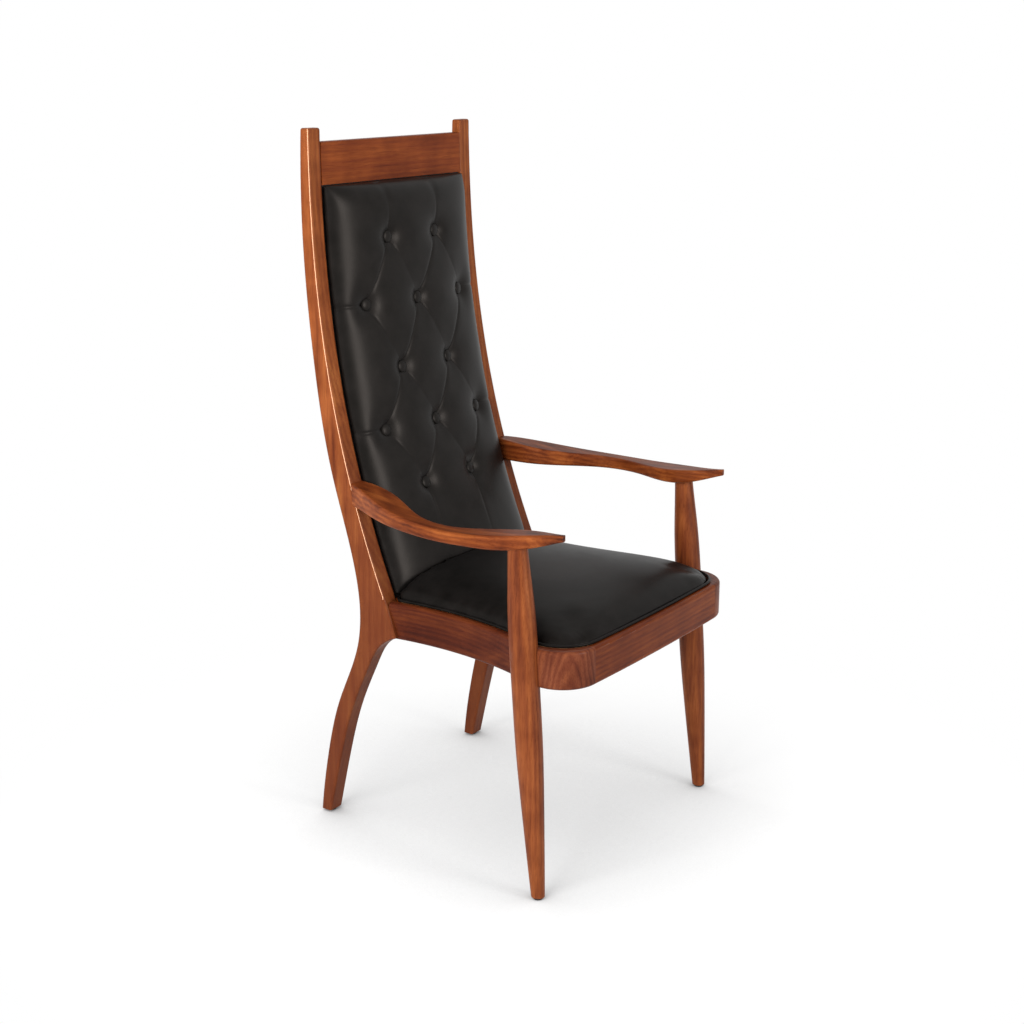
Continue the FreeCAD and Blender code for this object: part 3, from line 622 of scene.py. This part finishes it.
def tuft_valleys(points):
    """How far the buttons and creases draw the leather in, softly."""
    crease = np.zeros(len(points))
    for line in pleat_lines():
        gap, _ = from_line(points, line)
        crease = np.maximum(crease, valley_depth * np.exp(-(gap / valley_width) ** 2))
    dimple = np.zeros(len(points))
    for x, z in all_tufts():
        gap = np.hypot(points[:, 0] - x, points[:, 2] - z)
        dimple = np.maximum(dimple, tuft_depth / (1.0 + (gap / dimple_width) ** 2.4))
    return np.maximum(crease, dimple) + 0.25 * np.minimum(crease, dimple)


def pleat_folds(points):
    """How deep the folded leather dips in the creases themselves, deepest beside a button. The folds that
    run down to the sitter's right go from button to button, the others close up half way."""
    depth = np.zeros(len(points))
    buttons = all_tufts()
    for start, end in pleat_lines():
        gap, share = from_line(points, (start, end))
        if end in buttons and end[0] < start[0]:
            fold = 1.5 + 0.8 * np.abs(2.0 * share - 1.0)
        elif end in buttons:
            fold = 0.35 + 1.6 * smooth_step(1.0 - 2.4 * share) + 0.7 * smooth_step(4.0 * share - 3.0)
        elif start[1] == end[1]:
            fold = 2.6 * (1.0 - 0.4 * share)
        else:
            fold = 2.0 * (1.0 - share) ** 1.5
        depth = np.maximum(depth, fold * np.exp(-gap / fold_width))
    return depth


def tufted_back():
    """The pad is drawn in at its buttons, swells between them, and is then creased along its pleats."""
    heights = [pad_bottom + e for e in pad_end_steps]
    heights += list(np.linspace(pad_bottom + pad_end_length + 1.0, pad_top - pad_end_length - 1.0, pad_rows))
    heights += [pad_top - e for e in reversed(pad_end_steps)]
    rows = [pad_row(z) for z in heights]
    count = len(rows[0])
    faces = skin(len(rows), count) + [cap(0, count), cap(len(rows) - 1, count)]
    piece = new_piece("tufted_leather_back", [p for row in rows for p in row], faces)
    points, normals = corners(piece.data)
    move_corners(piece.data, points - normals * tuft_valleys(points)[:, None])
    points, _ = corners(piece.data)
    half = np.array([post_inner(z) - pad_gap for z in points[:, 2]])
    held = half - np.abs(points[:, 0]) < pad_held_at_sides
    held |= (points[:, 2] < pad_bottom + pad_held_at_ends) | (points[:, 2] > pad_top - pad_held_at_ends)
    for x, z in all_tufts():
        held |= np.hypot(points[:, 0] - x, points[:, 2] - z) < button_radius + button_held_round
    swollen(piece, held, pressure=4.0, reach=5.0, calm=3)
    subdivided(piece)
    points, normals = corners(piece.data)
    move_corners(piece.data, points - normals * pleat_folds(points)[:, None])
    finished(piece, back_leather)
    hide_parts("back_cover", "back_foam")


tufted_back()


# Covered buttons, placed by one tree


def nodes_input(tree, name, kind):
    """Adds a named input to a tree and gives its identifier."""
    return tree.interface.new_socket(name, in_out="INPUT", socket_type=kind).identifier


def covered_buttons():
    """Twelve low domes covered in the back's leather, one in each tuft."""
    places = all_tufts()
    outs = [pad_out(x, z) for x, z in places]
    feet = [pad_place(x, z) - out * button_sink for (x, z), out in zip(places, outs)]
    piece = new_piece("covered_buttons", feet, [])
    facing = piece.data.attributes.new("facing", "FLOAT_VECTOR", "POINT")
    facing.data.foreach_set("vector", np.array(outs).ravel())

    tree = bpy.data.node_groups.new("buttons_on_back", "GeometryNodeTree")
    nodes_input(tree, "Feet", "NodeSocketGeometry")
    radius = nodes_input(tree, "Button Radius", "NodeSocketFloat")
    dome = nodes_input(tree, "Dome", "NodeSocketVector")
    leather = nodes_input(tree, "Leather", "NodeSocketMaterial")
    tree.interface.new_socket("Buttons", in_out="OUTPUT", socket_type="NodeSocketGeometry")
    start = add(tree, "NodeGroupInput")
    ball = add(tree, "GeometryNodeMeshUVSphere", {"Radius": start.outputs["Button Radius"]},
               {"Segments": 40, "Rings": 20})
    domed = add(tree, "GeometryNodeTransform", {
        "Geometry": ball.outputs["Mesh"], "Scale": start.outputs["Dome"]})
    toward = add(tree, "GeometryNodeInputNamedAttribute", values={"Name": "facing"}, data_type="FLOAT_VECTOR")
    turned = add(tree, "FunctionNodeAlignRotationToVector", {"Vector": toward.outputs["Attribute"]}, axis="Z")
    placed = add(tree, "GeometryNodeInstanceOnPoints", {
        "Points": start.outputs["Feet"], "Instance": domed.outputs[0], "Rotation": turned.outputs[0]})
    real = add(tree, "GeometryNodeRealizeInstances", {"Geometry": placed.outputs[0]})
    smooth = add(tree, "GeometryNodeSetShadeSmooth", {"Geometry": real.outputs[0]})
    covered = add(tree, "GeometryNodeSetMaterial", {
        "Geometry": smooth.outputs[0], "Material": start.outputs["Leather"]})
    add(tree, "NodeGroupOutput", {"Buttons": covered.outputs[0]})

    modifier = piece.modifiers.new("buttons", "NODES")
    modifier.node_group = tree
    modifier[radius] = button_radius * MM
    modifier[dome] = (1.0, 1.0, button_rise / button_radius)
    modifier[leather] = back_leather
    made_plain(piece)
    finished(piece, back_leather)
    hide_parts("tuft_buttons")


covered_buttons()


# Seat cushion


def drop_in_seat():
    """The seat swells from the form of its filling, held along its edge and where it meets the back."""
    piece = bpy.data.objects.new("leather_seat", nodes["seat_foam"].data.copy())
    scene.collection.objects.link(piece)
    face_outwards(piece.data)
    remesh = piece.modifiers.new("even", "REMESH")
    remesh.mode = "VOXEL"
    remesh.voxel_size = seat_mesh_step * MM
    smooth = piece.modifiers.new("ease", "SMOOTH")
    smooth.factor = 0.5
    smooth.iterations = 8
    made_plain(piece)
    points, normals = corners(piece.data)
    near_back = points[:, 1] > np.array([back_curve(z) for z in points[:, 2]]) - seat_held_at_back
    # The cover lies over the filling, so that its lower edge reaches the welt, except beside the front legs
    lower = smooth_step((cover_edge_top - points[:, 2]) / cover_edge_fade)
    lower *= smooth_step((np.abs(points[:, 1] - leg_y) - leg_clear) / leg_fade)
    level = normals * np.array([1.0, 1.0, 0.0])
    move_corners(piece.data, points + level * (cover_thickness * lower * ~near_back)[:, None])
    held = (points[:, 2] < seat_held_below) | near_back
    swollen(piece, held, pressure=4.0, reach=5.0, calm=30)
    subdivided(piece)
    points, normals = corners(piece.data)
    # Small gathers where the leather turns the front corners
    sideways = np.abs(points[:, 0]) - gather_centre_x
    ahead = gather_centre_y - points[:, 1]
    angle = np.arctan2(ahead, sideways)
    window = smooth_step((angle + 0.2) / 0.5) * smooth_step((1.8 - angle) / 0.5)
    edge = smooth_step((np.hypot(sideways, ahead) - 30.0) / 25.0) * (sideways > -20.0) * (ahead > -20.0)
    low = smooth_step((gather_top - points[:, 2]) / gather_fade)
    gathers = gather_height * np.cos(angle * 21.0 + 2.2 * np.sin(angle * 5.0)) * window * edge * low
    move_corners(piece.data, points + normals * gathers[:, None])
    finished(piece, seat_leather)
    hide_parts("seat_cover", "seat_foam")


drop_in_seat()


# Seat outline, for the welt along the wood and the cloth under the seat


def seat_line(inset, corner_radius, rear_y):
    """The seat frame's outline in plan, moved inwards by inset, as points from the rear round the front."""
    side = np.array([seat_waist_half + seat_side_radius, seat_waist_y])
    bow = np.array([0.0, seat_front_y + seat_front_radius])
    side_reach = seat_side_radius + inset + corner_radius
    bow_reach = seat_front_radius - inset - corner_radius
    span = bow - side
    length = np.hypot(*span)
    along = (side_reach ** 2 - bow_reach ** 2 + length ** 2) / (2.0 * length)
    ahead = span / length
    corner = side + ahead * along + np.array([-ahead[1], ahead[0]]) * math.sqrt(side_reach ** 2 - along ** 2)
    rear_centre_y = rear_y - seat_rear_radius
    rear_reach = seat_side_radius + inset + seat_rear_radius
    rear = np.array([side[0] - math.sqrt(rear_reach ** 2 - (rear_centre_y - side[1]) ** 2), rear_centre_y])

    def sweep(centre, radius, first, last, count):
        angles = np.linspace(first, last, count)
        return [centre + radius * np.array([math.cos(a), math.sin(a)]) for a in angles]

    def bearing(start, end):
        return math.atan2(end[1] - start[1], end[0] - start[0])

    from_side_rear = bearing(side, rear) % (2.0 * math.pi)
    from_side_front = bearing(side, corner) % (2.0 * math.pi)
    left = sweep(rear, seat_rear_radius, math.pi / 2.0, bearing(rear, side), 8)
    left += sweep(side, seat_side_radius + inset, from_side_rear, from_side_front, 50)[1:]
    left += sweep(corner, corner_radius, bearing(corner, side), bearing(bow, corner), 24)[1:]
    left += sweep(bow, seat_front_radius - inset, bearing(bow, corner), -math.pi / 2.0, 30)[1:]
    return left + [np.array([-x, y]) for x, y in reversed(left[:-1])]


def seat_welt():
    """A thin leather welt lying on the wood, round the whole seat."""
    outline = seat_line(seat_edge_inset, seat_corner_radius, seat_rear_y)
    line = [(x, y, rail_top + welt_radius + welt_lift) for x, y in outline]
    mesh = bpy.data.meshes.new("seat_welt_line")
    mesh.from_pydata([tuple(MM * c for c in p) for p in line],
                     [(i, (i + 1) % len(line)) for i in range(len(line))], [])
    piece = bpy.data.objects.new("leather_seat_welt", mesh)
    scene.collection.objects.link(piece)

    tree = bpy.data.node_groups.new("welt_along_seat", "GeometryNodeTree")
    nodes_input(tree, "Line", "NodeSocketGeometry")
    radius = nodes_input(tree, "Welt Radius", "NodeSocketFloat")
    spacing = nodes_input(tree, "Spacing", "NodeSocketFloat")
    leather = nodes_input(tree, "Leather", "NodeSocketMaterial")
    tree.interface.new_socket("Welt", in_out="OUTPUT", socket_type="NodeSocketGeometry")
    start = add(tree, "NodeGroupInput")
    path = add(tree, "GeometryNodeMeshToCurve", {"Mesh": start.outputs["Line"]})
    even = add(tree, "GeometryNodeResampleCurve", {
        "Curve": path.outputs[0], "Length": start.outputs["Spacing"]}, mode="LENGTH")
    ring = add(tree, "GeometryNodeCurvePrimitiveCircle", {"Radius": start.outputs["Welt Radius"]},
               {"Resolution": 14})
    tube = add(tree, "GeometryNodeCurveToMesh", {"Curve": even.outputs[0], "Profile Curve": ring.outputs[0]})
    real = add(tree, "GeometryNodeRealizeInstances", {"Geometry": tube.outputs[0]})
    smooth = add(tree, "GeometryNodeSetShadeSmooth", {"Geometry": real.outputs[0]})
    covered = add(tree, "GeometryNodeSetMaterial", {
        "Geometry": smooth.outputs[0], "Material": start.outputs["Leather"]})
    add(tree, "NodeGroupOutput", {"Welt": covered.outputs[0]})
    modifier = piece.modifiers.new("welt", "NODES")
    modifier.node_group = tree
    modifier[radius] = welt_radius * MM
    modifier[spacing] = welt_spacing * MM
    modifier[leather] = seat_leather
    made_plain(piece)
    finished(piece, seat_leather)
    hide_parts("seat_welt")


seat_welt()


def bottom_cloth_sheet():
    """Black cloth stapled tight under the seat board, sagging a little in its middle."""
    rings = [seat_line(cloth_inset + step, seat_rear_radius, cloth_rear_y - step) for step in cloth_steps]
    count = len(rings[0])
    points = []
    for ring, step in zip(rings, cloth_steps):
        sag = cloth_sag * (1.0 - (1.0 - step / cloth_sag_reach) ** 2)
        points += [(x, y, cloth_height - sag) for x, y in ring]
    piece = new_piece("bottom_cloth", points, [cap(len(rings) - 1, count)] + skin(len(rings), count))
    finished(piece, cloth_finish)
    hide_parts("seat_bottom_cloth")


bottom_cloth_sheet()


# Outside back


def outside_back():
    """Thin leather-covered panel between the posts behind the pad, eased at its edges and barely padded."""
    heights = [outside_bottom + e for e in outside_end_steps]
    heights += list(np.linspace(outside_bottom + outside_end_length, outside_top - outside_end_length, 90))
    heights += [outside_top - e for e in reversed(outside_end_steps)]
    shares = np.sin(np.linspace(-0.5 * math.pi, 0.5 * math.pi, 60))
    rows = []
    for z in heights:
        half = post_inner(z) - outside_gap
        end = min(z - outside_bottom, outside_top - z)
        ease = math.sqrt(min(1.0, (end + 0.4) / outside_ease))
        row = [(half, back_curve(z) + outside_front, z)]
        for share in reversed(shares):
            swell = outside_swell * ease * (1.0 - abs(share) ** 8.0) ** 0.5
            row.append((half * share, back_curve(z) + outside_rear + swell, z))
        row.append((-half, back_curve(z) + outside_front, z))
        rows.append(row)
    count = len(rows[0])
    faces = [cap(0, count), cap(len(rows) - 1, count)] + skin(len(rows), count)
    piece = new_piece("leather_outside_back", [p for row in rows for p in row], faces)
    finished(piece, back_leather)
    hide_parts("outside_back_panel")


outside_back()


# Floor, light and camera


def background_rays(tree):
    """1 for the rays that see the background itself: from the camera, off a gloss or through glass."""
    rays = add(tree, "ShaderNodeLightPath")
    seen = add(tree, "ShaderNodeMath", {
        0: rays.outputs["Is Camera Ray"], 1: rays.outputs["Is Transmission Ray"]}, operation="MAXIMUM")
    return add(tree, "ShaderNodeMath", {0: seen.outputs[0], 1: rays.outputs["Is Glossy Ray"]},
               operation="MAXIMUM")


def studio():
    """White paper floor and white world, white to the rays that see them. The floor keeps the chair's shade,
    and the world is weaker as light on the chair."""
    bpy.ops.mesh.primitive_grid_add(size=30.0, x_subdivisions=2, y_subdivisions=2)
    floor = bpy.context.object
    floor.name = "studio_floor"
    material = bpy.data.materials.new("white_studio_paper")
    material.use_nodes = True
    tree = material.node_tree
    tree.nodes.clear()
    place = add(tree, "ShaderNodeTexCoord")
    away = add(tree, "ShaderNodeVectorMath", {0: place.outputs["Object"]}, operation="LENGTH")
    far = add(tree, "ShaderNodeMapRange", {"Value": away.outputs["Value"]},
              {"From Min": paper_fades_from, "From Max": paper_white_at}, interpolation_type="SMOOTHSTEP")
    clear = background_rays(tree)
    # Paper that is seen glows where the chair leaves the sky open, and fades to white away from the chair
    paper = add(tree, "ShaderNodeBsdfDiffuse", values={"Color": linear("#F6F6F6")})
    seen_paper = add(tree, "ShaderNodeBsdfDiffuse", values={"Color": linear("#909090")})
    open_sky = add(tree, "ShaderNodeAmbientOcclusion", values={"Distance": sky_reach}, samples=16)
    deeper = add(tree, "ShaderNodeMath", {0: open_sky.outputs["AO"]}, {1: sky_contrast}, operation="POWER")
    shade = add(tree, "ShaderNodeMath", {0: deeper.outputs[0]}, {1: paper_glow}, operation="MULTIPLY")
    below = add(tree, "ShaderNodeEmission", {"Strength": shade.outputs[0]})
    glowing = add(tree, "ShaderNodeAddShader", {0: seen_paper.outputs[0], 1: below.outputs[0]})
    white = add(tree, "ShaderNodeEmission", values={"Color": linear("#FFFFFF"), "Strength": 1.0})
    faded = add(tree, "ShaderNodeMixShader", {0: far.outputs[0], 1: glowing.outputs[0], 2: white.outputs[0]})
    mixed = add(tree, "ShaderNodeMixShader", {0: clear.outputs[0], 1: paper.outputs[0], 2: faded.outputs[0]})
    add(tree, "ShaderNodeOutputMaterial", {"Surface": mixed.outputs[0]})
    floor.data.materials.append(material)

    world = bpy.data.worlds.new("white_studio")
    scene.world = world
    world.use_nodes = True
    tree = world.node_tree
    tree.nodes.clear()
    clear = background_rays(tree)
    strength = add(tree, "ShaderNodeMapRange", {"Value": clear.outputs[0]},
                   {"To Min": world_light, "To Max": 1.0})
    glow = add(tree, "ShaderNodeBackground", {"Strength": strength.outputs[0]}, {"Color": linear("#FFFFFF")})
    add(tree, "ShaderNodeOutputWorld", {"Surface": glow.outputs[0]})


def soft_box(name, place, target, size, power, mirrored=True):
    """An area lamp turned to its target; one that isn't mirrored doesn't show in glosses."""
    lamp = bpy.data.lights.new(name, "AREA")
    lamp.shape = "RECTANGLE"
    lamp.size, lamp.size_y = size
    lamp.energy = power
    holder = bpy.data.objects.new(name, lamp)
    holder.location = place
    holder.rotation_euler = (Vector(target) - Vector(place)).to_track_quat("-Z", "Y").to_euler()
    holder.visible_glossy = mirrored
    scene.collection.objects.link(holder)


studio()
soft_box("soft_box_front", (0.0, -3.1, 1.4), (0.0, 0.0, 0.8), (0.9, 1.6), 60.0)
soft_box("soft_box_left", (-2.5, 0.0, 1.5), (0.0, 0.1, 0.8), (1.6, 2.0), 100.0, mirrored=False)
soft_box("soft_box_behind", (0.8, 3.3, 1.5), (0.0, 0.0, 0.7), (1.4, 1.8), 24.0, mirrored=False)
soft_box("soft_box_above", (-0.3, 0.2, 3.6), (0.0, 0.0, 0.4), (2.4, 2.4), 9.0)

camera = bpy.data.cameras.new("photo_camera")
camera.lens = camera_lens
camera.sensor_width = 36.0
camera.clip_end = 60.0
holder = bpy.data.objects.new("photo_camera", camera)
holder.location = camera_place
holder.rotation_euler = (math.radians(90.0 - camera_tilt), 0.0, math.radians(camera_turn))
scene.collection.objects.link(holder)
scene.camera = holder
